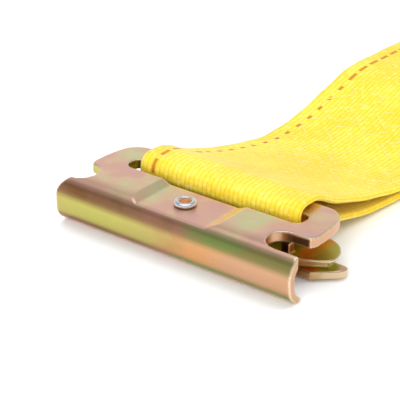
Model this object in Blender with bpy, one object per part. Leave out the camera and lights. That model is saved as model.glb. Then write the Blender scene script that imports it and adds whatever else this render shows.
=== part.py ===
"""Ratchet tie down for 50 mm (2 in) webbing, with a spring fitting for E-track at each end.

The front fitting and the short fixed strap lead to a ratchet buckle. A long strap is threaded
through the buckle's split axle, and its spare length is rolled up behind it. Everything lies on
the plane z = 0, with +Y along the straps. Lengths below are in millimetres.
"""

import math

import bmesh
import bpy
from mathutils import Vector
from mathutils.geometry import tessellate_polygon

MM = 0.001
GAP = 0.3  # clearance between neighbouring pieces

# Webbing
WEB_WIDTH = 50.8
WEB_THICK = 1.6
DRIFT = 9.0  # sideways offset of the buckle from the front fitting
DRIFT_FROM, DRIFT_TO = 25.0, 140.0

# E-track fitting: y = 0 is the middle of the lip's foot
BAR_HALF = 36.9
PLATE_TOP, PLATE_LOW = 12.8, 10.0
NOTCH_FRONT, NOTCH_REAR = 0.0, 8.1
LIP_HOOK_TOP = 4.0  # the notches leave the lip's hook whole
DEEP_NOTCH_X, SHALLOW_NOTCH_X = 25.3, -29.4
EAR_HALF = 35.2
SLOT_FRONT, SLOT_REAR = 12.7, 18.1
SLOT_LEFT, SLOT_RIGHT = -27.1, 27.7
PLATE_REAR = 24.7
RECESS_DEPTH = 1.0
RIVET_X, RIVET_Y = -1.6, 5.8
LATCH_LOW, LATCH_STEP, LATCH_RIM, LATCH_TOP = 0.4, 2.6, 4.6, 5.6
REAR_FITTING_Y = 652.0

# Ratchet buckle
BOLT_Y, BOLT_Z = 214.0, 12.0
BOLT_R, BOLT_HEAD, SLEEVE_R = 4.0, 6.5, 7.0
SPOOL_Y, SPOOL_Z = 300.0, 22.0
MANDREL_R, MANDREL_SLOT = 8.0, 3.0
FRAME_IN, FRAME_OUT = 27.0, 29.5
WHEEL_IN, WHEEL_OUT = 29.9, 33.9
ARM_IN, ARM_OUT = 34.3, 36.8
WHEEL_R, ROOT_R, TEETH = 19.0, 15.2, 12
CAM_R, NOTCH_R, WORK_R = 19.4, 15.0, 14.6
LOCK_ANGLE, DRIVE_ANGLE, HANDLE_ANGLE = 198.0, 168.0, 174.0
PAWL_THICK = 2.5
LOCK_EDGE, DRIVE_EDGE = 15.6, 19.6
PAWL_BODY, PAWL_TONGUE = 24.4, 36.4  # distances behind the pawl's edge
HANDLE_REACH = 108.0
GRIP_R = 8.5

# Rolled strap
ROLL_Y, ROLL_R = 478.0, 48.0
ROLL_Z = ROLL_R + 0.5

GOLD = ((0.62, 0.47, 0.33), 0.32, 1.0)
GOLD_DARK = ((0.55, 0.42, 0.16), 0.35, 1.0)
STEEL = ((0.62, 0.62, 0.63), 0.35, 1.0)
ALUMINIUM = ((0.78, 0.79, 0.80), 0.30, 1.0)
SPRING_STEEL = ((0.45, 0.45, 0.46), 0.30, 1.0)
RUBBER = ((0.03, 0.03, 0.03), 0.60, 0.0)
YELLOW = ((0.90, 0.66, 0.04), 0.75, 0.0)


# ---------------------------------------------------------------- outlines


def arc(cy, cz, radius, start, end, steps):
    """Points of a circular arc, angles in degrees."""
    turns = [math.radians(start + (end - start) * i / steps) for i in range(steps + 1)]
    return [(cy + radius * math.cos(a), cz + radius * math.sin(a)) for a in turns]


def circle(cy, cz, radius, steps=32):
    return arc(cy, cz, radius, 0, 360, steps)[:-1]


def smooth(points, steps=3):
    """A Catmull-Rom curve through the points."""
    ends = [points[0]] + list(points) + [points[-1]]
    curve = []
    for p0, p1, p2, p3 in zip(ends, ends[1:], ends[2:], ends[3:]):
        for i in range(steps):
            t = i / steps
            curve.append(
                tuple(
                    0.5 * (2 * b + (c - a) * t + (2 * a - 5 * b + 4 * c - d) * t**2
                           + (3 * b - a - 3 * c + d) * t**3)
                    for a, b, c, d in zip(p0, p1, p2, p3)
                )
            )
    return curve + [tuple(points[-1])]


def ribbon(path, thickness):
    """The outline of a strip of this thickness along a path."""
    left, right = [], []
    for i, (y, z) in enumerate(path):
        before, after = path[max(i - 1, 0)], path[min(i + 1, len(path) - 1)]
        ty, tz = after[0] - before[0], after[1] - before[1]
        length = math.hypot(ty, tz)
        ny, nz = -tz / length * thickness / 2, ty / length * thickness / 2
        left.append((y + ny, z + nz))
        right.append((y - ny, z - nz))
    return left + right[::-1]


def slot(angle, near, far, half, cy=SPOOL_Y, cz=SPOOL_Z):
    """A straight slot along a radius of the spool."""
    a = math.radians(angle)
    along, across = (math.cos(a), math.sin(a)), (-math.sin(a), math.cos(a))
    corners = ((near, -half), (far, -half), (far, half), (near, half))
    return [
        (cy + r * along[0] + h * across[0], cz + r * along[1] + h * across[1])
        for r, h in corners
    ]


# ---------------------------------------------------------------- objects


def material(name, look):
    colour, roughness, metallic = look
    made = bpy.data.materials.new(name)
    made.use_nodes = True
    shader = made.node_tree.nodes["Principled BSDF"]
    shader.inputs["Base Color"].default_value = (*colour, 1.0)
    shader.inputs["Roughness"].default_value = roughness
    shader.inputs["Metallic"].default_value = metallic
    return made


def node(name, bm, look, parent=None):
    """An object from a bmesh in millimetres."""
    bmesh.ops.recalc_face_normals(bm, faces=bm.faces)
    bmesh.ops.scale(bm, vec=(MM, MM, MM), verts=bm.verts)
    mesh = bpy.data.meshes.new(name)
    bm.to_mesh(mesh)
    bm.free()
    mesh.shade_smooth()
    mesh.set_sharp_from_angle(angle=math.radians(35))
    made = bpy.data.objects.new(name, mesh)
    bpy.context.scene.collection.objects.link(made)
    made.parent = parent
    if look:
        mesh.materials.append(material(name, look))
    return made


def pivot(name, y, z, x=DRIFT, turn_x=0.0, turn_z=0.0):
    """An empty that carries the pieces of one joint or one fitting."""
    made = bpy.data.objects.new(name, None)
    made.location = (x * MM, y * MM, z * MM)
    made.rotation_euler = (math.radians(turn_x), 0.0, math.radians(turn_z))
    bpy.context.scene.collection.objects.link(made)
    return made


def prism(outline, low, high, axis="X", holes=()):
    """A bmesh of an outline with holes, extruded along an axis."""
    loops = [list(outline)] + [list(hole) for hole in holes]
    flat = [point for loop in loops for point in loop]
    triangles = tessellate_polygon([[Vector((*p, 0)) for p in loop] for loop in loops])
    bm = bmesh.new()

    def place(point, along):
        return {"X": (along, *point), "Y": (point[0], along, point[1]), "Z": (*point, along)}[axis]

    floor = [bm.verts.new(place(p, low)) for p in flat]
    roof = [bm.verts.new(place(p, high)) for p in flat]
    for a, b, c in triangles:
        bm.faces.new((floor[a], floor[b], floor[c]))
        bm.faces.new((roof[c], roof[b], roof[a]))
    start = 0
    for loop in loops:
        count = len(loop)
        for i in range(count):
            j = start + (i + 1) % count
            bm.faces.new((floor[start + i], floor[j], roof[j], roof[start + i]))
        start += count
    if axis == "X" or holes:
        return bm
    bmesh.ops.dissolve_limit(bm, angle_limit=0.001, verts=bm.verts, edges=bm.edges)
    return bm


def block(low, high):
    """A bmesh box between two corners."""
    bm = bmesh.new()
    bmesh.ops.create_cube(bm, size=1.0)
    size = [b - a for a, b in zip(low, high)]
    bmesh.ops.scale(bm, vec=size, verts=bm.verts)
    bmesh.ops.translate(bm, vec=[(a + b) / 2 for a, b in zip(low, high)], verts=bm.verts)
    return bm


def wedge(low, high, inset):
    """A box whose upper face is wider than its lower face by the inset on the sides and front."""
    bm = block(low, high)
    for vert in bm.verts:
        if vert.co.z < (low[2] + high[2]) / 2:
            vert.co.x -= math.copysign(inset, vert.co.x)
            if vert.co.y < (low[1] + high[1]) / 2:
                vert.co.y += inset
    return bm


def turned(profile, centre, axis="Z", steps=24):
    """A closed profile of (radius, height) points turned about an axis through a centre."""
    bm = bmesh.new()
    rings = []
    for i in range(steps):
        a = 2 * math.pi * i / steps
        ring = []
        for radius, height in profile:
            u, v = radius * math.cos(a), radius * math.sin(a)
            local = (u, v, height) if axis == "Z" else (height, u, v)
            ring.append(bm.verts.new([c + p for c, p in zip(centre, local)]))
        rings.append(ring)
    count = len(profile)
    for i in range(steps):
        here, there = rings[i], rings[(i + 1) % steps]
        for j in range(count):
            k = (j + 1) % count
            bm.faces.new((here[j], here[k], there[k], there[j]))
    return bm


def coil(radius, wire, turns, length, steps=10, sides=5):
    """A helical wire about the local Z axis, starting at z = 0."""
    bm = bmesh.new()
    count = int(turns * steps)
    rings = []
    for i in range(count + 1):
        a = 2 * math.pi * i / steps
        height = length * i / count
        ring = []
        for j in range(sides):
            b = 2 * math.pi * j / sides
            r = radius + wire * math.cos(b)
            ring.append(
                bm.verts.new((r * math.cos(a), r * math.sin(a), height + wire * math.sin(b)))
            )
        rings.append(ring)
    for here, there in zip(rings, rings[1:]):
        for j in range(sides):
            k = (j + 1) % sides
            bm.faces.new((here[j], here[k], there[k], there[j]))
    bm.faces.new(rings[0])
    bm.faces.new(rings[-1])
    return bm


def combine(target, tool, operation):
    """Joins, cuts or intersects the target with a tool mesh, then drops the tool."""
    helper = node("tool", tool, None, target.parent)
    made = target.modifiers.new(operation.lower(), "BOOLEAN")
    made.operation = operation
    made.object = helper
    bake(target)
    bpy.data.objects.remove(helper)


def bake(target):
    """Replaces an object's mesh by its evaluated mesh."""
    graph = bpy.context.evaluated_depsgraph_get()
    mesh = bpy.data.meshes.new_from_object(target.evaluated_get(graph))
    target.modifiers.clear()
    old, target.data = target.data, mesh
    bpy.data.meshes.remove(old)
    mesh.name = target.name
    mesh.shade_smooth()
    mesh.set_sharp_from_angle(angle=math.radians(35))


def round_edges(target, width):
    """Chamfers the sharp edges."""
    made = target.modifiers.new("edges", "BEVEL")
    made.width = width * MM
    made.segments = 1
    made.limit_method = "ANGLE"
    made.angle_limit = math.radians(40)
    bake(target)


# ---------------------------------------------------------------- E-track fitting


def lip_section():
    """Side profile: a flat plate whose front edge is bent down into a hooked lip."""
    outer = smooth(
        [(2.6, 12.8), (-0.3, 12.4), (-2.5, 10.5), (-3.6, 7.8), (-3.6, 5.2), (-3.0, 2.3), (-0.9, 0.0)]
    )
    inner = smooth(
        [(1.2, 0.0), (1.3, 0.8), (-0.5, 2.4), (-1.4, 4.6), (-1.2, 7.0), (-0.3, 8.8), (2.6, PLATE_LOW)]
    )
    rear = [(PLATE_REAR + 3, PLATE_LOW), (PLATE_REAR + 3, PLATE_TOP)]
    return outer + inner + rear


def notch(x, side):
    """Round-bottomed notch that opens at one end of the plate."""
    radius = (NOTCH_REAR - NOTCH_FRONT) / 2
    turn = (-90, -270) if side > 0 else (-90, 90)
    bottom = arc(x + side * radius, NOTCH_FRONT + radius, radius, *turn, 10)
    mouth = side * (BAR_HALF + 1)
    return [(mouth, NOTCH_FRONT)] + bottom + [(mouth, NOTCH_REAR)]


def recess():
    """Front view of the shallow recess round the rivet, with sloping ends."""
    floor = PLATE_TOP - RECESS_DEPTH
    left, right, slope = -14.3, 12.4, 2.6
    return [(left, PLATE_TOP), (left, PLATE_TOP + 1), (right, PLATE_TOP + 1), (right, PLATE_TOP),
            (right - slope, floor), (left + slope, floor)]


def lip_corner(side, radius):
    """What is cut away, seen from the front, to round an upper corner of the lip."""
    end, away = side * BAR_HALF, side * (BAR_HALF + 1)
    turn = (0, 90) if side > 0 else (180, 90)
    corner = arc(end - side * radius, PLATE_TOP - radius, radius, *turn, 6)
    return [(away, PLATE_TOP + 1), (away, PLATE_TOP - radius)] + corner + [(corner[-1][0], PLATE_TOP + 1)]


def plate_plan():
    """Plan outline of the fitting before its notches are cut, from the lip's left end round the right."""
    left = [(-BAR_HALF, NOTCH_REAR - 1), (-BAR_HALF, -3.2), (-BAR_HALF + 1.0, -4.2)]
    right = [(BAR_HALF - 0.4, -4.2), (BAR_HALF, -3.8), (BAR_HALF, NOTCH_REAR - 1)]
    ear = smooth(
        [(EAR_HALF - 1.0, 8.1), (EAR_HALF, 10.0), (35.1, 15.2), (34.5, 19.4), (33.2, 22.4), (30.2, 24.5),
         (27.0, PLATE_REAR)], 3
    )
    return left + right + ear + [(-x, y) for x, y in ear[::-1]]


def webbing_slot():
    """Slot for the webbing, with rounded corners."""
    corner = 2.1
    ends = []
    for x, y, start in (
        (SLOT_RIGHT - corner, SLOT_REAR - corner, 0),
        (SLOT_LEFT + corner, SLOT_REAR - corner, 90),
        (SLOT_LEFT + corner, SLOT_FRONT + corner, 180),
        (SLOT_RIGHT - corner, SLOT_FRONT + corner, 270),
    ):
        ends += arc(x, y, corner, start, start + 90, 4)
    return ends


def fitting_body(name, parent):
    body = node(name, prism(lip_section(), -BAR_HALF - 1, BAR_HALF + 1), GOLD, parent)
    combine(body, prism(plate_plan(), -2, PLATE_TOP + 2, "Z", [webbing_slot()]), "INTERSECT")
    for x, side in ((DEEP_NOTCH_X, 1), (SHALLOW_NOTCH_X, -1)):
        combine(body, prism(notch(x, side), LIP_HOOK_TOP, PLATE_TOP + 2, "Z"), "DIFFERENCE")
    for side, radius in ((-1, 5.0), (1, 1.2)):
        combine(body, prism(lip_corner(side, radius), -5, NOTCH_FRONT + 2, "Y"), "DIFFERENCE")
    dish = ((-12.0, 1.8, PLATE_LOW - RECESS_DEPTH), (10.6, SLOT_FRONT - 0.6, PLATE_LOW + 0.6))
    combine(body, wedge(*dish, 0.8), "UNION")
    combine(body, prism(recess(), -4, SLOT_FRONT + 2, "Y"), "DIFFERENCE")
    combine(body, prism(circle(RIVET_X, RIVET_Y, 2.4, 24), 6, PLATE_TOP + 2, "Z"), "DIFFERENCE")
    round_edges(body, 0.45)
    return body


def latch_outline(inset):
    """Plan of the latch: a middle tongue between two round-ended lobes with straight front edges."""
    radius = 8.1 - inset
    front = [(20.0, 4.3 + inset), (34.7 - inset, 12.0 + inset / 2), (36.6 - inset, 13.2 + inset / 2)]
    lobe = front + arc(29.1, 14.8, radius, -3, 95, 12)
    right = [(15, 2.6 + inset)] + lobe + [(26, 19.6 - inset)]
    return right + [(-x, y) for x, y in right[::-1]]


def latch_plate(name, parent):
    """Sprung keeper under the plate: thin lobes on a thicker core, with a finger and a lug on each side."""
    plate = node(name, prism(latch_outline(0), LATCH_RIM, LATCH_TOP, "Z"), GOLD_DARK, parent)
    combine(plate, prism(latch_outline(2.0), LATCH_STEP - 0.4, LATCH_RIM + 0.4, "Z"), "UNION")
    combine(plate, prism(circle(RIVET_X, RIVET_Y, 2.9, 24), 0, LATCH_TOP + 1, "Z"), "DIFFERENCE")
    for side in (-1, 1):
        tip = arc(37.9, 16.8, 1.4, -20, 90, 5)
        finger = [(20.5, 10.1), (33.1, 10.1), (38.6, 14.9)] + tip + [(20.5, 18.2)]
        combine(plate, prism([(side * x, y) for x, y in finger], LATCH_LOW, LATCH_STEP, "Z"), "UNION")
        lug = [(24.9, 9.6), (27.3, 9.6), (27.3, 12.0), (24.9, 12.0)]
        combine(plate, prism([(side * x, y) for x, y in lug], LATCH_RIM + 0.4, 8.6, "Z"), "UNION")
    round_edges(plate, 0.3)
    return plate


def rivet(name, parent):
    """Tubular rivet that holds the latch plate and its spring under the body."""
    floor = PLATE_TOP - RECESS_DEPTH
    profile = [
        (1.5, 0.8), (3.4, 0.8), (3.7, 1.2), (3.6, 1.8), (2.1, 1.9), (2.1, floor + 0.2), (2.9, floor + 0.25),
        (3.05, floor + 0.6), (2.75, floor + 1.2), (2.1, floor + 1.35), (1.5, floor + 1.1),
    ]
    return node(name, turned(profile, (RIVET_X, RIVET_Y, 0)), ALUMINIUM, parent)


def fitting_spring(name, parent):
    spring = node(name, coil(4.1, 0.42, 2.0, 1.9), SPRING_STEEL, parent)
    spring.location = (RIVET_X * MM, RIVET_Y * MM, (LATCH_TOP + 0.7) * MM)
    return spring


def fitting(prefix, place):
    fitting_body(prefix + "_fitting_body", place)
    latch_plate(prefix + "_fitting_latch", place)
    rivet(prefix + "_fitting_rivet", place)
    fitting_spring(prefix + "_fitting_spring", place)


# ---------------------------------------------------------------- webbing


def drift(y):
    """Sideways offset of the fixed strap at a distance along it."""
    t = min(max((y - DRIFT_FROM) / (DRIFT_TO - DRIFT_FROM), 0.0), 1.0)
    return DRIFT * t * t * (3 - 2 * t)


def strap(name, path, drifting=False):
    """Webbing of constant thickness along a path in the YZ plane."""
    bm = prism(ribbon(path, WEB_THICK), -WEB_WIDTH / 2, WEB_WIDTH / 2)
    for vert in bm.verts:
        vert.co.x += drift(vert.co.y) if drifting else DRIFT
    return node(name, bm, YELLOW)


def bar_loop():
    """Webbing centre line from the lower leg, round the fitting's rear bar, to the upper leg."""
    return [(26.5, 7.7), (22.5, 8.7), (18.8, 8.75), (17.0, 9.7), (16.7, 11.4), (17.2, 13.1), (18.9, 14.1),
            (21.5, 14.25), (24.6, 14.05)]


def fixed_strap():
    lower = [(99, 10.3), (89, 6.1), (79, 2.8), (69, 1.15), (60, 1.05), (51, 1.35), (42, 2.6), (33, 5.0)]
    upper = [(28.2, 12.7), (33, 10.2), (42, 7.2), (51, 5.1), (60, 3.5), (69, 2.95), (79, 4.6), (89, 7.9),
             (99, 12.1), (106, 13.7), (115, 14.2), (126, 14.3), (144, 14.8), (165, 15.9), (184, 17.4),
             (200, 19.2)]
    round_bolt = arc(BOLT_Y, BOLT_Z, SLEEVE_R + GAP + WEB_THICK / 2, 100, -105, 12)
    back = [(200, 5.4), (190, 9.8), (178, 13.9), (165, 13.7), (150, 12.9)]
    return smooth(lower + bar_loop() + upper) + round_bolt + smooth(back)


def long_strap_run():
    """From the free tail, through the split axle, down to the bottom of the roll."""
    return smooth(
        [(197, 21.3), (214, 22.1), (240, SPOOL_Z), (270, SPOOL_Z), (300, SPOOL_Z), (307, 21.7), (312.5, 18.5),
         (316.5, 13.5), (322, 8.4), (331, 4.2), (345, 1.8), (362, 1.1), (400, 1.0), (428, 1.0)], 3
    )


def long_strap_end():
    """From the top of the roll, draped down behind it, to the rear fitting's bar and back."""
    drape = [(500, 95.0), (517, 86.0), (530, 70.0), (538, 48.0), (545, 27.0), (556, 11.0), (570, 4.4)]
    flat = [(80, 3.0), (69, 2.85), (60, 3.5), (51, 5.1), (42, 7.2), (33, 10.2), (28.2, 12.7)]
    tail = [(33, 5.0), (42, 2.6), (51, 1.35), (60, 1.05), (74, 1.05)]
    near = flat + bar_loop()[::-1] + tail
    return smooth(drape + [(REAR_FITTING_Y - y, z) for y, z in near])


def strap_roll():
    """The rolled part of the long strap, as one drum."""
    half = WEB_WIDTH / 2
    bm = prism(circle(ROLL_Y, ROLL_Z, ROLL_R, 48), DRIFT - half, DRIFT + half)
    return node("strap_roll", bm, YELLOW)


# ---------------------------------------------------------------- ratchet buckle


def frame_outline():
    """Side plate: a cam-shaped head round the spool and a round tail about the anchor bolt."""
    steps = (
        (-55, -19.5, CAM_R, 8), (-18.5, -5.5, NOTCH_R, 3), (-4.5, 10, CAM_R, 4), (16, 134, WORK_R, 20),
        (140, 160.5, CAM_R, 4), (161.5, 174.5, NOTCH_R, 3), (175.5, 178, CAM_R, 1),
    )
    head = []
    for start, end, radius, count in steps:
        head += arc(SPOOL_Y, SPOOL_Z, radius, start, end, count)
    tail = arc(BOLT_Y, BOLT_Z, 11.6, 80, 260, 14)
    return head + tail + [(224, 0.0), (298, 0.0), (306, 2.0)]


def ratchet_frame():
    """U-shaped frame: two side plates joined by a base plate."""
    holes = [
        circle(SPOOL_Y, SPOOL_Z, MANDREL_R + GAP),
        circle(BOLT_Y, BOLT_Z, BOLT_R + GAP, 24),
        slot(LOCK_ANGLE, LOCK_EDGE - 0.5, LOCK_EDGE + 19.5, PAWL_THICK / 2 + GAP),
    ]
    outline = frame_outline()
    frame = node("ratchet_frame", prism(outline, DRIFT + FRAME_IN, DRIFT + FRAME_OUT, "X", holes), GOLD)
    combine(frame, prism(outline, DRIFT - FRAME_OUT, DRIFT - FRAME_IN, "X", holes), "UNION")
    base = block((DRIFT - FRAME_IN - 1, 234, 0.01), (DRIFT + FRAME_IN + 1, 287, 2.5))
    combine(frame, base, "UNION")
    return frame


def wheel_outline():
    """Saw-toothed wheel with a gap centred on the radius of each pawl."""
    points = []
    pitch = 360 / TEETH
    for i in range(TEETH):
        gap = DRIVE_ANGLE + i * pitch
        points += arc(SPOOL_Y, SPOOL_Z, ROOT_R, gap - 6.5, gap + 6.5, 2)
        points += arc(SPOOL_Y, SPOOL_Z, WHEEL_R, gap + 9.0, gap + 13.0, 1)
    return points


def half_moon(side, grow):
    """Cross-section of one half of the split axle, grown by a clearance."""
    radius = MANDREL_R + grow
    flat = MANDREL_SLOT / 2 - grow
    a = math.degrees(math.asin(flat / radius))
    points = arc(0, 0, radius, a, 180 - a, 16)
    return [(SPOOL_Y + y, SPOOL_Z + side * z) for y, z in points]


def spool():
    half = ARM_OUT + 2.6
    for name, side in (("mandrel_upper", 1), ("mandrel_lower", -1)):
        node(name, prism(half_moon(side, 0.0), DRIFT - half, DRIFT + half), STEEL)
    holes = [half_moon(1, 0.15), half_moon(-1, 0.15)]
    for name, side in (("ratchet_wheel_left", -1), ("ratchet_wheel_right", 1)):
        ends = sorted((DRIFT + side * WHEEL_IN, DRIFT + side * WHEEL_OUT))
        node(name, prism(wheel_outline(), *ends, "X", holes), GOLD)
    ring = [(MANDREL_R + 0.2, 0.0), (11.5, 0.0), (11.5, 1.2), (MANDREL_R + 0.2, 1.2)]
    for name, at in (("axle_clip_left", -ARM_OUT - 1.5), ("axle_clip_right", ARM_OUT + 0.3)):
        node(name, turned(ring, (DRIFT + at, SPOOL_Y, SPOOL_Z), "X"), STEEL)


def pawl(name, place, edge, half, ear, pull):
    """Sliding pawl: a flat plate with side ears, a spring tongue behind and an optional finger pull."""
    rear, tongue = edge + PAWL_BODY, edge + PAWL_TONGUE
    inside = FRAME_IN - 0.8
    right = [(half, edge), (half, edge + 2.6), (ear, edge + 3.4), (ear, edge + 13), (inside, edge + 15),
             (inside, rear), (3.5, rear), (3.5, tongue)]
    outline = right + [(-x, y) for x, y in right[::-1]]
    plate = node(name, prism(outline, -PAWL_THICK / 2, PAWL_THICK / 2, "Z"), GOLD, place)
    if pull:
        tab = block((-12, rear - 2.6, -7.5), (12, rear - 0.2, 0.5))
        combine(plate, tab, "UNION")
    return plate


def pawl_guide(name, place, edge, half, rise):
    """Cross bracket with a hole for the pawl's tongue, against which the spring pushes."""
    low, high = edge + 33.4, edge + 35.4
    guide = node(name, block((-half, low, -rise), (half, high, rise)), GOLD, place)
    tongue = block((-3.9, low - 1, -PAWL_THICK / 2 - GAP), (3.9, high + 1, PAWL_THICK / 2 + GAP))
    combine(guide, tongue, "DIFFERENCE")
    return guide


def pawl_spring(name, place, edge):
    spring = node(name, coil(4.6, 0.4, 5.0, 7.2), SPRING_STEEL, place)
    spring.rotation_euler = (math.radians(-90), 0, 0)
    spring.location = (0, (edge + PAWL_BODY + 0.9) * MM, 0)
    return spring


def pawls():
    lock = pivot("lock_axis", SPOOL_Y, SPOOL_Z, turn_x=LOCK_ANGLE)
    pawl("lock_pawl", lock, LOCK_EDGE, WHEEL_OUT, WHEEL_OUT, False)
    pawl_guide("lock_pawl_guide", lock, LOCK_EDGE, FRAME_IN - GAP, 3.2)
    pawl_spring("lock_pawl_spring", lock, LOCK_EDGE)
    drive = pivot("drive_axis", SPOOL_Y, SPOOL_Z, turn_x=DRIVE_ANGLE)
    pawl("drive_pawl", drive, DRIVE_EDGE, WHEEL_OUT, ARM_OUT + 0.6, True)
    pawl_guide("drive_pawl_guide", drive, DRIVE_EDGE, ARM_IN - GAP, 3.2)
    pawl_spring("drive_pawl_spring", drive, DRIVE_EDGE)


def arm_outline():
    """Handle side plate in its own frame: +Y along the arm from the spool axis."""
    hub = arc(0, 0, 17.0, 125, 235, 16)
    end = arc(HANDLE_REACH, 0, 11.0, -90, 90, 12)
    return hub + [(20, -13.0), (62, -10.5)] + end + [(62, 10.5), (20, 13.0)]


def handle():
    """Lever with two arms, a cross plate and a bolted grip."""
    place = pivot("handle_axis", SPOOL_Y, SPOOL_Z, turn_x=HANDLE_ANGLE)
    tilt = DRIVE_ANGLE - HANDLE_ANGLE
    holes = [
        circle(0, 0, MANDREL_R + GAP),
        slot(tilt, DRIVE_EDGE - 1.2, DRIVE_EDGE + 16.6, PAWL_THICK / 2 + GAP, 0, 0),
        circle(HANDLE_REACH, 0, 3.3, 20),
    ]
    lever = node("handle_frame", prism(arm_outline(), ARM_IN, ARM_OUT, "X", holes), GOLD, place)
    combine(lever, prism(arm_outline(), -ARM_OUT, -ARM_IN, "X", holes), "UNION")
    combine(lever, block((-ARM_IN - 1, 64, -7.0), (ARM_IN + 1, 86, -4.5)), "UNION")
    half = ARM_IN - GAP
    profile = [(3.4, -half), (GRIP_R - 1.5, -half), (GRIP_R, -half + 1.5), (GRIP_R, half - 1.5),
               (GRIP_R - 1.5, half), (3.4, half)]
    node("handle_grip", turned(profile, (0, HANDLE_REACH, 0), "X"), RUBBER, place)
    bolt("grip_bolt", "grip_nut", place, (0, HANDLE_REACH, 0), 3.0, 5.0, ARM_OUT)


def hexagon(radius, y, z):
    return circle(y, z, radius / math.cos(math.pi / 6), 6)


def bolt(bolt_name, nut_name, place, centre, radius, head, outside):
    """Hexagon bolt across the two side plates, with its nut."""
    x, y, z = centre
    shank = prism(circle(y, z, radius, 24), x - outside - head * 1.2, x + outside + 1)
    made = node(bolt_name, shank, STEEL, place)
    cap = prism(hexagon(head, y, z), x + outside + GAP, x + outside + GAP + head * 0.75)
    combine(made, cap, "UNION")
    low, bore = x - outside - GAP - head * 0.8, circle(y, z, radius + 0.15, 24)
    node(nut_name, prism(hexagon(head, y, z), low, x - outside - GAP, "X", [bore]), STEEL, place)


def anchor():
    """Bolt and sleeve that hold the fixed strap."""
    bolt("anchor_bolt", "anchor_nut", None, (DRIFT, BOLT_Y, BOLT_Z), BOLT_R, BOLT_HEAD, FRAME_OUT)
    half = FRAME_IN - GAP
    bore = BOLT_R + GAP
    tube = [(bore, -half), (SLEEVE_R, -half), (SLEEVE_R, half), (bore, half)]
    node("anchor_sleeve", turned(tube, (DRIFT, BOLT_Y, BOLT_Z), "X"), STEEL)


def main():
    for old in list(bpy.data.objects):
        bpy.data.objects.remove(old)
    fitting("front", pivot("front_fitting", 0, 0, x=0.0))
    fitting("rear", pivot("rear_fitting", REAR_FITTING_Y, 0, turn_z=180.0))
    strap("fixed_strap", fixed_strap(), drifting=True)
    strap("long_strap_run", long_strap_run())
    strap("long_strap_end", long_strap_end())
    strap_roll()
    ratchet_frame()
    anchor()
    spool()
    pawls()
    handle()


main()
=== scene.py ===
"""Looks of the ratchet tie down: iridescent chromated steel, woven yellow webbing, studio light.

The webbing is one continuous strip on each side of the buckle. Its routes repeat the CAD's
own points, in millimetres, and MM turns them into metres.
"""

import math

import bpy
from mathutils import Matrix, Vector


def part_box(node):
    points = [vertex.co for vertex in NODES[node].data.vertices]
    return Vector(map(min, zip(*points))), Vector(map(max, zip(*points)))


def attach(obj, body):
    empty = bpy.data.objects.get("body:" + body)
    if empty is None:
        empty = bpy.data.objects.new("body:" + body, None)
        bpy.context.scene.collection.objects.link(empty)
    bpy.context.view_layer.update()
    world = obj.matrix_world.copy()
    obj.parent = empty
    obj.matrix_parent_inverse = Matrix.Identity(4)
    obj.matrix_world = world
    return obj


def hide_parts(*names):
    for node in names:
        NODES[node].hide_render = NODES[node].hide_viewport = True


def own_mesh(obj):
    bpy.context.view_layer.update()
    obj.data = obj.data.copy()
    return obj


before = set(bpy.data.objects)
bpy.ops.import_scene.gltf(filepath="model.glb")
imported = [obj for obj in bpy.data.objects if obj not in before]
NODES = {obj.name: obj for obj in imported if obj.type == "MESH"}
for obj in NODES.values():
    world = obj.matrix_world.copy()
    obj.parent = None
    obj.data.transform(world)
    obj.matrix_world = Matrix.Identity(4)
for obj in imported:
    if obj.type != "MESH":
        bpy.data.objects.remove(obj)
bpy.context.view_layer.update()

MM = 0.001

# Webbing
WEB_WIDTH = 50.8
WEB_THICK = 1.6
RIB_PITCH = 1.40  # warp ribs, across the strap
PICK_PITCH = 2.5  # weft picks, along the strap
TRACER_INSET, TRACER_PERIOD = 4.9, 4.8
SEWN_FROM, SEWN_TO = 50.0, 98.0
DRIFT = 9.0
DRIFT_FROM, DRIFT_TO = 25.0, 140.0

# Places shared with the CAD
REAR_FITTING_Y = 652.0
BOLT_Y, BOLT_Z, SLEEVE_R = 214.0, 12.0, 7.0
SPOOL_Z = 22.0
GAP = 0.3
ROLL_Y, ROLL_R = 478.0, 48.0
ROLL_Z = ROLL_R + 0.5
ROLL_CORE, ROLL_PITCH = 6.0, 4.2

# Camera: aimed at the front fitting
CAMERA_AZIMUTH, CAMERA_ELEVATION = 37.77, 26.43
CAMERA_DISTANCE = 400.0
CAMERA_TARGET = (0.0, 17.7, 8.0)
CAMERA_LENS = 142.56

# Brightness of the room against the sine of the height above the horizon, as a share of the brightest
ROOM_LIGHT = [(0.0, 0.52), (0.47, 0.52), (0.62, 0.30), (0.84, 0.30), (0.93, 1.0), (1.0, 1.0)]
ROOM_BRIGHTEST = 1.55


# ---------------------------------------------------------------- camera and light


def make_camera():
    a, e = math.radians(CAMERA_AZIMUTH), math.radians(CAMERA_ELEVATION)
    back = Vector((math.sin(a) * math.cos(e), -math.cos(a) * math.cos(e), math.sin(e)))
    data = bpy.data.cameras.new("camera")
    data.lens = CAMERA_LENS
    data.sensor_width = 36.0
    data.shift_x = -0.0498
    data.shift_y = 0.008
    data.clip_start = 0.01
    camera = bpy.data.objects.new("camera", data)
    camera.location = (Vector(CAMERA_TARGET) + back * CAMERA_DISTANCE) * MM
    camera.rotation_mode = "QUATERNION"
    camera.rotation_quaternion = (-back).to_track_quat("-Z", "Y")
    bpy.context.scene.collection.objects.link(camera)
    bpy.context.scene.camera = camera


def area_light(name, place, target, size, power, mirrored=True):
    data = bpy.data.lights.new(name, "AREA")
    data.shape = "DISK"
    data.size = size
    data.energy = power
    lamp = bpy.data.objects.new(name, data)
    lamp.location = place
    lamp.visible_glossy = mirrored
    lamp.rotation_euler = (Vector(target) - Vector(place)).to_track_quat("-Z", "Y").to_euler()
    bpy.context.scene.collection.objects.link(lamp)


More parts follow.
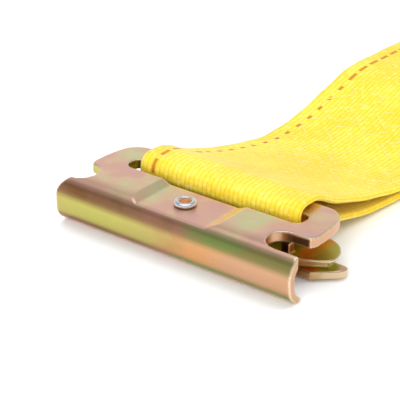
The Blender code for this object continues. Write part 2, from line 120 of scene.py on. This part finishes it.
def make_world():
    """A white room that is brightest overhead."""
    world = bpy.data.worlds.new("studio")
    world.use_nodes = True
    tree = world.node_tree
    direction = tree.nodes.new("ShaderNodeTexCoord")
    axes = tree.nodes.new("ShaderNodeSeparateXYZ")
    tree.links.new(direction.outputs["Generated"], axes.inputs[0])
    glow = tree.nodes.new("ShaderNodeFloatCurve")
    curve = glow.mapping.curves[0]
    for place, level in ROOM_LIGHT[1:-1]:
        curve.points.new(place, level)
    curve.points[0].location = ROOM_LIGHT[0]
    curve.points[-1].location = ROOM_LIGHT[-1]
    glow.mapping.update()
    tree.links.new(axes.outputs[2], glow.inputs["Value"])
    strength = tree.nodes.new("ShaderNodeMath")
    strength.operation = "MULTIPLY"
    strength.inputs[1].default_value = ROOM_BRIGHTEST
    tree.links.new(glow.outputs[0], strength.inputs[0])
    tree.links.new(strength.outputs[0], tree.nodes["Background"].inputs["Strength"])
    tree.nodes["Background"].inputs["Color"].default_value = (1.0, 1.0, 1.0, 1.0)
    bpy.context.scene.world = world


def make_studio():
    """The room, a pale floor and two large soft lamps."""
    make_world()
    bpy.context.scene.view_settings.view_transform = "Standard"
    mesh = bpy.data.meshes.new("floor")
    reach = 6.0
    mesh.from_pydata([(-reach, -reach, 0), (reach, -reach, 0), (reach, reach, 0), (-reach, reach, 0)], [],
                     [(0, 1, 2, 3)])
    floor = bpy.data.objects.new("floor", mesh)
    floor.location = (0, 0, -0.0003)
    bpy.context.scene.collection.objects.link(floor)
    made = Nodes("floor")
    made.set("Base Color", (0.94, 0.94, 0.94, 1))
    made.set("Roughness", 0.9)
    made.set("Specular IOR Level", 0.1)
    mesh.materials.append(made.material)
    area_light("key", (-0.62, 0.25, 0.95), (0.0, 0.03, 0.0), 0.7, 4.0, mirrored=False)
    area_light("front", (0.35, -0.85, 0.45), (0.0, 0.05, 0.0), 0.8, 7.5, mirrored=False)
    area_light("fill", (0.8, 0.9, 1.1), (0.0, 0.3, 0.0), 0.9, 6.0, mirrored=False)


# ---------------------------------------------------------------- materials


class Nodes:
    """A small helper for wiring one Principled material."""

    def __init__(self, name):
        self.material = bpy.data.materials.new(name)
        self.material.use_nodes = True
        self.tree = self.material.node_tree
        self.shader = self.tree.nodes["Principled BSDF"]

    def set(self, socket, value):
        self.shader.inputs[socket].default_value = value

    def new(self, kind, **settings):
        node = self.tree.nodes.new(kind)
        for key, value in settings.items():
            setattr(node, key, value)
        return node

    def link(self, out, into):
        self.tree.links.new(out, into)

    def put(self, socket, value):
        if hasattr(value, "links"):
            self.link(value, socket)
        else:
            socket.default_value = value

    def math(self, operation, a, b=0.0, c=0.0):
        node = self.new("ShaderNodeMath", operation=operation)
        for socket, value in zip(node.inputs, (a, b, c)):
            self.put(socket, value)
        return node.outputs[0]

    def noise(self, scale, detail=3.0, vector=None, rough=0.5):
        node = self.new("ShaderNodeTexNoise")
        node.inputs["Scale"].default_value = scale
        node.inputs["Detail"].default_value = detail
        node.inputs["Roughness"].default_value = rough
        if vector is not None:
            self.link(vector, node.inputs["Vector"])
        return node.outputs["Fac"]

    def place(self):
        """Where a point of the piece is, in the piece's own space."""
        return self.new("ShaderNodeTexCoord").outputs["Object"]

    def ramp(self, value, stops):
        node = self.new("ShaderNodeValToRGB")
        band = node.color_ramp
        band.interpolation = "EASE"
        while len(band.elements) < len(stops):
            band.elements.new(0.5)
        for element, (place, colour) in zip(band.elements, stops):
            element.position = place
            element.color = (*colour, 1.0)
        self.link(value, node.inputs["Fac"])
        return node.outputs["Color"]

    def mix(self, factor, a, b, blend="MIX"):
        node = self.new("ShaderNodeMix", data_type="RGBA", blend_type=blend)
        self.put(node.inputs[0], factor)
        self.put(node.inputs[6], a if hasattr(a, "links") else (*a, 1.0))
        self.put(node.inputs[7], b if hasattr(b, "links") else (*b, 1.0))
        return node.outputs[2]

    def between(self, value, low, high):
        """0 below low, 1 above high, smooth in between."""
        node = self.new("ShaderNodeMapRange", interpolation_type="SMOOTHSTEP")
        for socket, number in zip(node.inputs, (value, low, high, 0.0, 1.0)):
            self.put(socket, number)
        return node.outputs[0]

    def bump(self, height, distance, strength=1.0):
        node = self.new("ShaderNodeBump")
        node.inputs["Distance"].default_value = distance
        node.inputs["Strength"].default_value = strength
        self.link(height, node.inputs["Height"])
        self.link(node.outputs["Normal"], self.shader.inputs["Normal"])


def edge_highlight(made, colour, worn, amount=0.5):
    """Painted highlight: a lighter colour, given as worn, on the convex edges."""
    point = made.new("ShaderNodeNewGeometry").outputs["Pointiness"]
    mask = made.math("MULTIPLY", made.between(point, 0.505, 0.56), amount)
    return made.mix(mask, colour, worn)


def chromate(name, latch=False):
    """Yellow chromate over zinc: its tint drifts from green-gold to mauve. The colour is chosen by which way each
    face points, and the darker band where the plate turns down is painted shade and painted dark reflection.
    """
    made = Nodes(name)
    geometry = made.new("ShaderNodeNewGeometry")
    place = made.new("ShaderNodeSeparateXYZ")
    made.link(made.place(), place.inputs[0])
    facing = made.new("ShaderNodeSeparateXYZ")
    made.link(geometry.outputs["Normal"], facing.inputs[0])
    broad = made.noise(70.0, 1.5, made.place())
    fine = made.noise(240.0, 3.0, made.place())
    drift = made.math("ADD", made.math("MULTIPLY", broad, 0.78), made.math("MULTIPLY", fine, 0.22))
    across = made.between(place.outputs[0], -0.040, 0.040)
    along = made.math("ADD", made.math("MULTIPLY", across, 0.75), made.math("MULTIPLY_ADD", drift, 1.1, -0.32))
    top = made.ramp(drift, [(0.34, (0.80, 0.74, 0.42)), (0.44, (0.90, 0.64, 0.42)), (0.52, (0.90, 0.54, 0.42)),
                            (0.60, (0.88, 0.52, 0.46)), (0.70, (0.84, 0.66, 0.48))])
    front = made.ramp(along, [(0.20, (0.50, 0.47, 0.12)), (0.42, (0.50, 0.43, 0.13)), (0.60, (0.52, 0.32, 0.13)),
                              (0.78, (0.66, 0.33, 0.14)), (0.95, (0.60, 0.34, 0.20))])
    # Colours on sloping faces between the front and the top are darker: painted shade and painted dark reflection,
    # over the coat's own tint.
    bend_shade = made.ramp(along, [(0.20, (0.26, 0.12, 0.045)), (0.45, (0.34, 0.18, 0.10)), (0.62, (0.42, 0.20, 0.13)),
                             (0.78, (0.24, 0.31, 0.09)), (0.95, (0.30, 0.27, 0.09))])
    if latch:
        # On the latch the tint runs outwards across x: the dark tones inboard, where the latch lies under the body,
        # and the green on the lobe under the ear are painted shade and painted dark reflection; along the front,
        # the dark brown inboard is painted shade beside the lit outer face.
        out = made.math("MULTIPLY_ADD", made.math("ABSOLUTE", place.outputs[0]), 70.0, -1.80)
        out = made.math("ADD", out, made.math("MULTIPLY_ADD", drift, 1.2, -0.6))
        top = made.ramp(out, [(0.05, (0.34, 0.27, 0.03)), (0.35, (0.72, 0.27, 0.04)), (0.60, (0.46, 0.46, 0.08)),
                              (0.90, (0.74, 0.45, 0.32))])
        front = made.ramp(out, [(0.20, (0.40, 0.17, 0.05)), (0.50, (0.58, 0.36, 0.16)), (0.80, (0.70, 0.52, 0.34))])
    tilt = made.math("ABSOLUTE", facing.outputs[2])
    side = made.mix(made.between(tilt, 0.10, 0.45), front, bend_shade)
    colour = made.mix(made.between(tilt, 0.62, 0.92), side, top)
    # The cream colour on the convex edges is a painted highlight.
    colour = edge_highlight(made, colour, (0.98, 0.86, 0.66), 0.35 if latch else 0.85)
    made.link(colour, made.shader.inputs["Base Color"])
    made.set("Metallic", 1.0)
    made.link(made.math("MULTIPLY_ADD", fine, 0.18, 0.22), made.shader.inputs["Roughness"])
    grain = made.noise(1100.0, 3.0, made.place())
    made.bump(grain, 0.00003, 0.5)
    return made.material


def bright_metal(name, colour, rough=0.25, streak=(1, 1, 1)):
    """Bare or bright-zinc metal with faint drawing marks."""
    made = Nodes(name)
    geometry = made.new("ShaderNodeNewGeometry")
    stretch = made.new("ShaderNodeMapping")
    stretch.inputs["Scale"].default_value = streak
    made.link(made.place(), stretch.inputs["Vector"])
    marks = made.noise(600.0, 4.0, stretch.outputs[0])
    cloud = made.noise(90.0, 3.0, made.place())
    dark = tuple(c * 0.72 for c in colour)
    tone = made.mix(made.between(cloud, 0.35, 0.7), dark, colour)
    # The lighter colour on the convex edges is a painted highlight.
    tone = edge_highlight(made, tone, tuple(min(c * 1.25, 1.0) for c in colour), 0.6)
    made.link(tone, made.shader.inputs["Base Color"])
    made.set("Metallic", 1.0)
    made.link(made.math("MULTIPLY_ADD", marks, 0.22, rough - 0.06), made.shader.inputs["Roughness"])
    made.bump(marks, 0.00003, 0.6)
    return made.material


def rivet_metal(name, centre):
    """Bright rolled head round a brown bore."""
    made = Nodes(name)
    geometry = made.new("ShaderNodeNewGeometry")
    away = made.new("ShaderNodeVectorMath", operation="DISTANCE")
    flat = made.new("ShaderNodeVectorMath", operation="MULTIPLY")
    made.link(made.place(), flat.inputs[0])
    flat.inputs[1].default_value = (1, 1, 0)
    made.link(flat.outputs[0], away.inputs[0])
    away.inputs[1].default_value = (centre[0], centre[1], 0)
    marks = made.noise(800.0, 3.0, made.place())
    bright = made.mix(marks, (0.62, 0.63, 0.65), (0.88, 0.89, 0.91))
    # The bore is coloured brown by its distance from the centre only.
    bore_tone = made.mix(marks, (0.42, 0.17, 0.06), (0.66, 0.32, 0.14))
    head = made.between(away.outputs["Value"], 0.00150, 0.00185)
    made.link(made.mix(head, bore_tone, bright), made.shader.inputs["Base Color"])
    made.link(made.math("MULTIPLY_ADD", head, 0.5, 0.5), made.shader.inputs["Metallic"])
    made.link(made.math("MULTIPLY_ADD", marks, 0.2, 0.14), made.shader.inputs["Roughness"])
    made.bump(marks, 0.00003, 0.6)
    return made.material


def rubber(name):
    """Black moulded grip with fine rings and a dusty bloom."""
    made = Nodes(name)
    geometry = made.new("ShaderNodeNewGeometry")
    place = made.new("ShaderNodeSeparateXYZ")
    made.link(made.place(), place.inputs[0])
    rings = made.math("SINE", made.math("MULTIPLY", place.outputs[0], 2 * math.pi / 0.0034))
    rings = made.between(rings, -0.2, 0.6)
    dust = made.noise(260.0, 5.0, made.place())
    tone = made.mix(made.between(dust, 0.4, 0.75), (0.018, 0.018, 0.019), (0.055, 0.054, 0.052))
    tone = made.mix(made.math("MULTIPLY", rings, 0.35), tone, (0.075, 0.074, 0.072))
    made.link(tone, made.shader.inputs["Base Color"])
    made.link(made.math("MULTIPLY_ADD", dust, 0.25, 0.45), made.shader.inputs["Roughness"])
    height = made.math("ADD", rings, made.math("MULTIPLY", dust, 0.25))
    made.bump(height, 0.0006, 0.8)
    return made.material


def webbing_material(name, sewn):
    """Woven polyester: warp ribs tied down by staggered picks, with a dashed tracer near one selvedge."""
    made = Nodes(name)
    weave = made.new("ShaderNodeUVMap", uv_map="weave")
    axes = made.new("ShaderNodeSeparateXYZ")
    made.link(weave.outputs[0], axes.inputs[0])
    across = made.math("MULTIPLY", axes.outputs[0], 1.0 / (RIB_PITCH * MM))
    along = made.math("MULTIPLY", axes.outputs[1], 1.0 / (PICK_PITCH * MM))
    stagger = made.math("MULTIPLY", made.math("MODULO", made.math("FLOOR", across), 2.0), 0.5)
    rib = made.math("SINE", made.math("MULTIPLY", made.math("FRACT", across), math.pi))
    step = made.math("FRACT", made.math("ADD", along, stagger))
    pick = made.math("SINE", made.math("MULTIPLY", step, math.pi))
    gap = made.math("SUBTRACT", 1.0, made.between(rib, 0.05, 0.62))
    gap = made.math("MULTIPLY", gap, made.between(pick, 0.25, 0.75))
    fibres = made.new("ShaderNodeMapping")
    fibres.inputs["Scale"].default_value = (8.0, 1.0, 1.0)
    made.link(weave.outputs[0], fibres.inputs["Vector"])
    strand = made.noise(700.0, 2.0, fibres.outputs[0], 0.6)
    patch = made.noise(520.0, 2.0, weave.outputs[0], 0.7)
    cloud = made.noise(60.0, 2.0, weave.outputs[0])
    yellow = made.mix(made.between(cloud, 0.35, 0.65), (0.86, 0.60, 0.030), (0.88, 0.69, 0.060))
    yellow = made.mix(made.math("MULTIPLY", made.between(patch, 0.50, 0.70), 0.42), yellow, (0.97, 0.82, 0.28))
    yellow = made.mix(made.math("MULTIPLY", made.between(patch, 0.50, 0.34), 0.35), yellow, (0.82, 0.62, 0.012))
    # The lighter crowns of the ribs are a painted highlight.
    crown_highlight = made.math("MULTIPLY", rib, made.math("SUBTRACT", 1.0, pick))
    yellow = made.mix(made.math("MULTIPLY", made.between(crown_highlight, 0.45, 0.95), 0.14), yellow, (1.0, 0.86, 0.42))
    # The pale flecks over the cloth are painted glints of the fibres' sheen.
    glint = made.noise(620.0, 1.0, weave.outputs[0])
    yellow = made.mix(made.math("MULTIPLY", made.between(glint, 0.66, 0.74), 0.45), yellow, (1.0, 0.80, 0.52))
    # Darker amber in the gaps between the ribs, where the weft crosses, is painted shade.
    colour = made.mix(made.math("MULTIPLY", gap, 0.75), yellow, (0.66, 0.42, 0.02))

    from_line = made.math("ABSOLUTE", made.math("SUBTRACT", axes.outputs[0], TRACER_INSET * MM))
    line = made.math("SUBTRACT", 1.0, made.between(from_line, 0.00040, 0.00062))
    dash = made.math("FRACT", made.math("MULTIPLY", axes.outputs[1], 1.0 / (TRACER_PERIOD * MM)))
    pulled = made.math("MULTIPLY", made.math("GREATER_THAN", axes.outputs[1], sewn[0] * MM),
                       made.math("LESS_THAN", axes.outputs[1], sewn[1] * MM))
    duty = made.math("MULTIPLY_ADD", pulled, -0.34, 0.70)
    line = made.math("MULTIPLY", line, made.math("LESS_THAN", dash, duty))
    thread = made.mix(strand, (0.40, 0.13, 0.01), (0.66, 0.27, 0.02))
    colour = made.mix(line, colour, thread)
    made.link(colour, made.shader.inputs["Base Color"])
    made.set("Roughness", 0.6)
    made.set("Specular IOR Level", 0.3)
    made.set("Sheen Weight", 0.15)
    made.set("Sheen Roughness", 0.4)
    swell = made.math("MULTIPLY", made.math("POWER", rib, 0.5), made.math("MULTIPLY_ADD", pick, 0.65, 0.35))
    height = made.math("ADD", swell, made.math("MULTIPLY", strand, 0.35))
    made.bump(height, 0.00022, 0.5)
    return made.material


def thread_material(name, colour):
    """Twisted sewing thread."""
    made = Nodes(name)
    geometry = made.new("ShaderNodeNewGeometry")
    twist = made.noise(2600.0, 2.0, made.place())
    dark = tuple(c * 0.7 for c in colour)
    made.link(made.mix(twist, dark, colour), made.shader.inputs["Base Color"])
    made.set("Roughness", 0.5)
    made.set("Sheen Weight", 0.3)
    made.bump(twist, 0.0001, 0.6)
    return made.material


# ---------------------------------------------------------------- webbing


def smooth(points, steps):
    """A Catmull-Rom curve through the points."""
    ends = [points[0]] + list(points) + [points[-1]]
    curve = []
    for p0, p1, p2, p3 in zip(ends, ends[1:], ends[2:], ends[3:]):
        for i in range(steps):
            t = i / steps
            curve.append(
                tuple(
                    0.5 * (2 * b + (c - a) * t + (2 * a - 5 * b + 4 * c - d) * t**2
                           + (3 * b - a - 3 * c + d) * t**3)
                    for a, b, c, d in zip(p0, p1, p2, p3)
                )
            )
    return curve + [tuple(points[-1])]


def arc(cy, cz, radius, start, end, steps):
    turns = [math.radians(start + (end - start) * i / steps) for i in range(steps + 1)]
    return [(cy + radius * math.cos(a), cz + radius * math.sin(a)) for a in turns]


def bar_loop():
    """Centre line from the lower leg, round the fitting's rear bar, to the upper leg."""
    return [(26.5, 7.7), (22.5, 8.7), (18.8, 8.75), (17.0, 9.7), (16.7, 11.4), (17.2, 13.1), (18.9, 14.1),
            (21.5, 14.25), (24.6, 14.05)]


def fixed_route():
    lower = [(99, 10.3), (89, 6.1), (79, 2.8), (69, 1.15), (60, 1.05), (51, 1.35), (42, 2.6), (33, 5.0)]
    upper = [(28.2, 12.7), (33, 10.2), (42, 7.2), (51, 5.1), (60, 3.5), (69, 2.95), (79, 4.6), (89, 7.9),
             (99, 12.1), (106, 13.7), (115, 14.2), (126, 14.3), (144, 14.8), (165, 15.9), (184, 17.4),
             (200, 19.2)]
    round_bolt = arc(BOLT_Y, BOLT_Z, SLEEVE_R + GAP + WEB_THICK / 2, 100, -105, 30)
    back = [(200, 5.4), (190, 9.8), (178, 13.9), (165, 13.7), (150, 12.9)]
    return smooth(lower + bar_loop() + upper, 8) + round_bolt + smooth(back, 8)


def roll_route():
    """Double spiral: the strap was folded in half and rolled from the fold, so both ends are outside."""
    outer = ROLL_R - WEB_THICK / 2
    turns = (outer - ROLL_CORE) / ROLL_PITCH
    count = int(turns * 28)

    def arm(start):
        points = []
        for i in range(count + 1):
            left = turns * (1 - i / count)
            angle = math.radians(start) + 2 * math.pi * (turns - left)
            radius = ROLL_CORE + ROLL_PITCH * left
            points.append((ROLL_Y + radius * math.cos(angle), ROLL_Z + radius * math.sin(angle)))
        return points

    inward, outward = arm(-90), arm(90)[::-1]
    (ay, az), (by, bz) = inward[-1], outward[0]
    fold = [(ay + (by - ay) * t, az + (bz - az) * t) for t in (0.25, 0.5, 0.75)]
    return inward + fold + outward


def tail_route():
    """The free tail, up to the split axle."""
    return smooth([(197, 21.3), (214, 22.1), (240, SPOOL_Z), (270, SPOOL_Z), (291.7, SPOOL_Z)], 6)


def threaded_route():
    """The stretch inside the split axle."""
    return smooth([(291.9, SPOOL_Z), (300, SPOOL_Z), (304, 21.95), (308.0, 21.5)], 6)


def long_route():
    """From the split axle to the roll, the roll, the drape behind it and the rear loop."""
    run = [(308.2, 21.4), (312.5, 18.5), (316.5, 13.5), (322, 8.4), (331, 4.2), (345, 1.8), (362, 1.1),
           (400, 1.0), (428, 1.0), (450, 1.05), (466, 1.15)]
    drape = [(489, 95.6), (500, 95.0), (517, 86.0), (530, 70.0), (538, 48.0), (545, 27.0), (556, 11.0),
             (570, 4.4)]
    flat = [(80, 3.0), (69, 2.85), (60, 3.5), (51, 5.1), (42, 7.2), (33, 10.2), (28.2, 12.7)]
    tail = [(33, 5.0), (42, 2.6), (51, 1.35), (60, 1.05), (74, 1.05)]
    near = flat + bar_loop()[::-1] + tail
    rear = drape + [(REAR_FITTING_Y - y, z) for y, z in near]
    return smooth(run, 6) + roll_route() + smooth(rear, 6)


def drift(y):
    """Sideways offset of the fixed strap at a distance along it."""
    t = min(max((y - DRIFT_FROM) / (DRIFT_TO - DRIFT_FROM), 0.0), 1.0)
    return DRIFT * t * t * (3 - 2 * t)


def frames(route):
    """(y, z, normal y, normal z, distance along) at each point of a route."""
    found = []
    length = 0.0
    for i, (y, z) in enumerate(route):
        if i:
            length += math.dist(route[i - 1], route[i])
        before, after = route[max(i - 1, 0)], route[min(i + 1, len(route) - 1)]
        ty, tz = after[0] - before[0], after[1] - before[1]
        size = math.hypot(ty, tz) or 1.0
        found.append((y, z, -tz / size, ty / size, length))
    return found


def webbing(name, route, columns, shift):
    """A closed strip of webbing with rounded selvedges and a UV map in metres of flat cloth."""
    half, thick = WEB_WIDTH / 2, WEB_THICK / 2
    section = []
    for i in range(columns + 1):
        x = -half + WEB_WIDTH * i / columns
        edge = min(1.0, (half - abs(x)) / 1.2)
        section.append((x, thick * math.sqrt(1 - (1 - edge) ** 2) * 0.85 + thick * 0.15))
    ring = [(x, t) for x, t in section] + [(x, -t) for x, t in section[::-1]]
    rows = frames(route)
    points, texels = [], []
    for y, z, ny, nz, along in rows:
        sway = 0.12 * math.sin(along * 0.11) + 0.08 * math.sin(along * 0.37 + 1.0)
        for x, t in ring:
            edge_wave = 0.10 * math.sin(along * 0.6 + x) if abs(x) > half - 2 else 0.0
            points.append(((x + shift(y) + sway + edge_wave) * MM, (y + ny * t) * MM, (z + nz * t) * MM))
            texels.append(((x + half) * MM, along * MM))
    size = len(ring)
    faces = []
    for r in range(len(rows) - 1):
        for k in range(size):
            a, b = r * size + k, r * size + (k + 1) % size
            faces.append((a, b, b + size, a + size))
    faces.append(tuple(range(size))[::-1])
    last = (len(rows) - 1) * size
    faces.append(tuple(range(last, last + size)))
    mesh = bpy.data.meshes.new(name)
    mesh.from_pydata(points, [], faces)
    layer = mesh.uv_layers.new(name="weave")
    for loop in mesh.loops:
        layer.data[loop.index].uv = texels[loop.vertex_index]
    mesh.shade_smooth()
    mesh.set_sharp_from_angle(angle=math.radians(70))
    made = bpy.data.objects.new(name, mesh)
    bpy.context.scene.collection.objects.link(made)
    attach(made, "frame")
    return made, rows[-1][4]


def stitch_rows(name, route, shift, low, high, side, material):
    """Zigzag sewing through the doubled webbing, as short raised stitches."""
    rows = [row for row in frames(route) if low <= row[0] <= high]
    points, faces = [], []
    lanes, swing, period, step = 5, 4.2, 11.0, 2.6

    def spot(distance, lane):
        wave = abs(((distance / period) % 1.0) * 2 - 1) * 2 - 1
        x = (lane - (lanes - 1) / 2) * 9.2 + swing * wave
        target = rows[0][4] + distance
        for a, b in zip(rows, rows[1:]):
            if a[4] <= target <= b[4]:
                t = (target - a[4]) / (b[4] - a[4])
                mixed = [p + (q - p) * t for p, q in zip(a, b)]
                y, z, ny, nz = mixed[:4]
                lift = side * (WEB_THICK / 2 + 0.02)
                return Vector((x + shift(y), y + ny * lift, z + nz * lift)), Vector((0, ny, nz)) * side
        return None

    def stitch(a, b, up):
        along = (b - a).normalized()
        across = along.cross(up).normalized()
        sides = 6
        rings = ((0.0, 0.35, -0.24), (0.18, 1.0, -0.02), (0.5, 1.1, 0.06), (0.82, 1.0, -0.02), (1.0, 0.35, -0.24))
        base = len(points)
        for t, swell, lift in rings:
            centre = a.lerp(b, t) + up * lift
            for k in range(sides):
                angle = 2 * math.pi * k / sides
                offset = across * math.cos(angle) + up * math.sin(angle)
                points.append((centre + offset * 0.22 * swell) * MM)
        for r in range(len(rings) - 1):
            for k in range(sides):
                j = (k + 1) % sides
                faces.append((base + r * sides + k, base + r * sides + j,
                              base + (r + 1) * sides + j, base + (r + 1) * sides + k))
        faces.append(tuple(base + k for k in range(sides))[::-1])
        faces.append(tuple(base + (len(rings) - 1) * sides + k for k in range(sides)))

    total = rows[-1][4] - rows[0][4]
    for lane in range(lanes):
        for i in range(int(total / step)):
            a = spot(i * step + 0.25, lane)
            b = spot((i + 1) * step - 0.25, lane)
            if a and b:
                stitch(a[0], b[0], a[1])
    mesh = bpy.data.meshes.new(name)
    mesh.from_pydata(points, [], faces)
    mesh.shade_smooth()
    mesh.materials.append(material)
    made = bpy.data.objects.new(name, mesh)
    bpy.context.scene.collection.objects.link(made)
    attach(made, "frame")
    return made


def make_webbing():
    upper = fixed_route()
    loop_end = max(i for i, p in enumerate(upper) if p[0] < 18)
    top_leg = [row[4] for row in frames(upper)[loop_end:] if SEWN_FROM - 15 < row[0] < SEWN_TO and row[2] != 0]
    top_leg = [along for along in top_leg if along < top_leg[0] + SEWN_TO]
    cloth = webbing_material("webbing", (top_leg[0], top_leg[-1]))
    thread = thread_material("thread", (0.97, 0.78, 0.20))
    fixed, fixed_length = webbing("fixed_webbing", upper, 48, drift)
    fixed.data.materials.append(cloth)
    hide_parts("fixed_strap")
    lengths = [fixed_length]
    for name, route, held, rests_on, nodes in (
        ("long_webbing_tail", tail_route(), "stretched", ["mandrel_lower"], ["long_strap_run"]),
        ("long_webbing_threaded", threaded_route(), "stretched", ["mandrel_lower"], ["long_strap_run"]),
        ("long_webbing", long_route(), "folded", ["rear_fitting_body"],
         ["long_strap_run", "strap_roll", "long_strap_end"]),
    ):
        piece, length = webbing(name, route, 20, lambda y: DRIFT)
        piece.data.materials.append(cloth)
        if name == "long_webbing_threaded":
            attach(piece, "spool")
        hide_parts(*nodes)
        lengths.append(length)
    print("webbing lengths, mm:", [round(length) for length in lengths])

    stitch_rows("fixed_stitches_top", upper[loop_end:loop_end + 140], drift, SEWN_FROM, SEWN_TO, 1, thread)
    stitch_rows("fixed_stitches_under", upper[69::-1], drift, SEWN_FROM, SEWN_TO, 1, thread)


# ---------------------------------------------------------------- metal pieces


def rolled_rivet(node):
    """The rivet with a smooth rolled head and a blind bore, in the place of its CAD node."""
    low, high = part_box(node)
    centre = [(a + b) / 2 for a, b in zip(low, high)]
    top, foot = high[2] / MM, low[2] / MM
    profile = [(0.0, top - 0.75), (0.9, top - 0.8), (1.35, top - 0.7), (1.55, top - 0.4), (1.7, top - 0.12),
               (2.1, top), (2.6, top - 0.08), (2.95, top - 0.35), (3.05, top - 0.75), (2.85, top - 1.15),
               (2.1, top - 1.2), (2.05, foot + 1.1), (3.5, foot + 1.0), (3.7, foot + 0.5), (3.4, foot),
               (0.0, foot)]
    steps = 72
    mesh = bpy.data.meshes.new(node + "_rolled")
    points, faces = [], []
    for i in range(steps):
        a = 2 * math.pi * i / steps
        for radius, height in profile[1:-1]:
            points.append((centre[0] + radius * MM * math.cos(a), centre[1] + radius * MM * math.sin(a),
                           height * MM))
    rim = len(profile) - 2
    for i in range(steps):
        here, there = i * rim, (i + 1) % steps * rim
        for k in range(rim - 1):
            faces.append((here + k, there + k, there + k + 1, here + k + 1))
    faces.append([i * rim for i in range(steps)][::-1])
    faces.append([i * rim + rim - 1 for i in range(steps)])
    mesh.from_pydata(points, [], faces)
    mesh.shade_smooth()
    mesh.set_sharp_from_angle(angle=math.radians(60))
    mesh.materials.append(rivet_metal(node + "_alloy", centre))
    made = bpy.data.objects.new(node + "_rolled", mesh)
    bpy.context.scene.collection.objects.link(made)
    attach(made, "frame")
    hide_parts(node)


def pressed_spring(node, material, body):
    """A copy of the coil with the given material, carried by its body."""
    mesh = NODES[node].data.copy()
    mesh.materials.clear()
    mesh.materials.append(material)
    made = bpy.data.objects.new(node + "_coil", mesh)
    bpy.context.scene.collection.objects.link(made)
    mesh.shade_smooth()
    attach(made, body)
    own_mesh(made)
    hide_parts(node)


def pawl_spring(node, material, body):
    """The fixed end is at the guide bracket, on the pawl's line through the axle."""
    pressed_spring(node, material, body)


def dress(node, material):
    piece = NODES[node]
    mesh = piece.data
    mesh.materials.clear()
    mesh.materials.append(material)
    return piece


def soften(node, material, voxel, passes):
    """A pressed and tumbled piece: every edge is worn round."""
    piece = dress(node, material)
    remesh = piece.modifiers.new("remesh", "REMESH")
    remesh.mode = "VOXEL"
    remesh.voxel_size = voxel * MM
    remesh.use_smooth_shade = True
    smoothing = piece.modifiers.new("tumbled", "SMOOTH")
    smoothing.factor = 0.5
    smoothing.iterations = passes


def bevel(node, material, width, segments=2):
    """A machined or sheared piece: its edges are lightly broken."""
    piece = dress(node, material)
    piece.data.shade_smooth()
    weld = piece.modifiers.new("weld", "WELD")
    weld.merge_threshold = 0.000002
    if width:
        made = piece.modifiers.new("edges", "BEVEL")
        made.width = width * MM
        made.segments = segments
        made.limit_method = "ANGLE"
        made.angle_limit = math.radians(35)
    shading = piece.modifiers.new("shading", "WEIGHTED_NORMAL")
    shading.weight = 60


def make_metal():
    plated = chromate("zinc_gold")
    latch = chromate("zinc_gold_latch", latch=True)
    zinc = bright_metal("bright_zinc", (0.66, 0.66, 0.68), 0.28)
    drawn = bright_metal("drawn_bar", (0.60, 0.60, 0.62), 0.30, (0.15, 1, 1))
    spring = bright_metal("spring_wire", (0.42, 0.42, 0.43), 0.24)
    grip = rubber("grip_rubber")
    for end in ("front", "rear"):
        soften(end + "_fitting_body", plated, 0.26, 10)
        soften(end + "_fitting_latch", latch, 0.24, 6)
        rolled_rivet(end + "_fitting_rivet")
        pressed_spring(end + "_fitting_spring", spring, "frame")
    for node in ("ratchet_frame", "handle_frame", "lock_pawl", "lock_pawl_guide", "drive_pawl",
                 "drive_pawl_guide", "ratchet_wheel_left", "ratchet_wheel_right"):
        bevel(node, plated, 0.35)
    for node in ("mandrel_upper", "mandrel_lower", "anchor_sleeve"):
        bevel(node, drawn, 0.4)
    for node in ("anchor_bolt", "anchor_nut", "grip_bolt", "grip_nut", "axle_clip_left", "axle_clip_right"):
        bevel(node, zinc, 0.4)
    pawl_spring("lock_pawl_spring", spring, "frame")
    pawl_spring("drive_pawl_spring", spring, "handle")
    bevel("handle_grip", grip, 0.6, 3)


make_camera()
make_studio()
make_webbing()
make_metal()
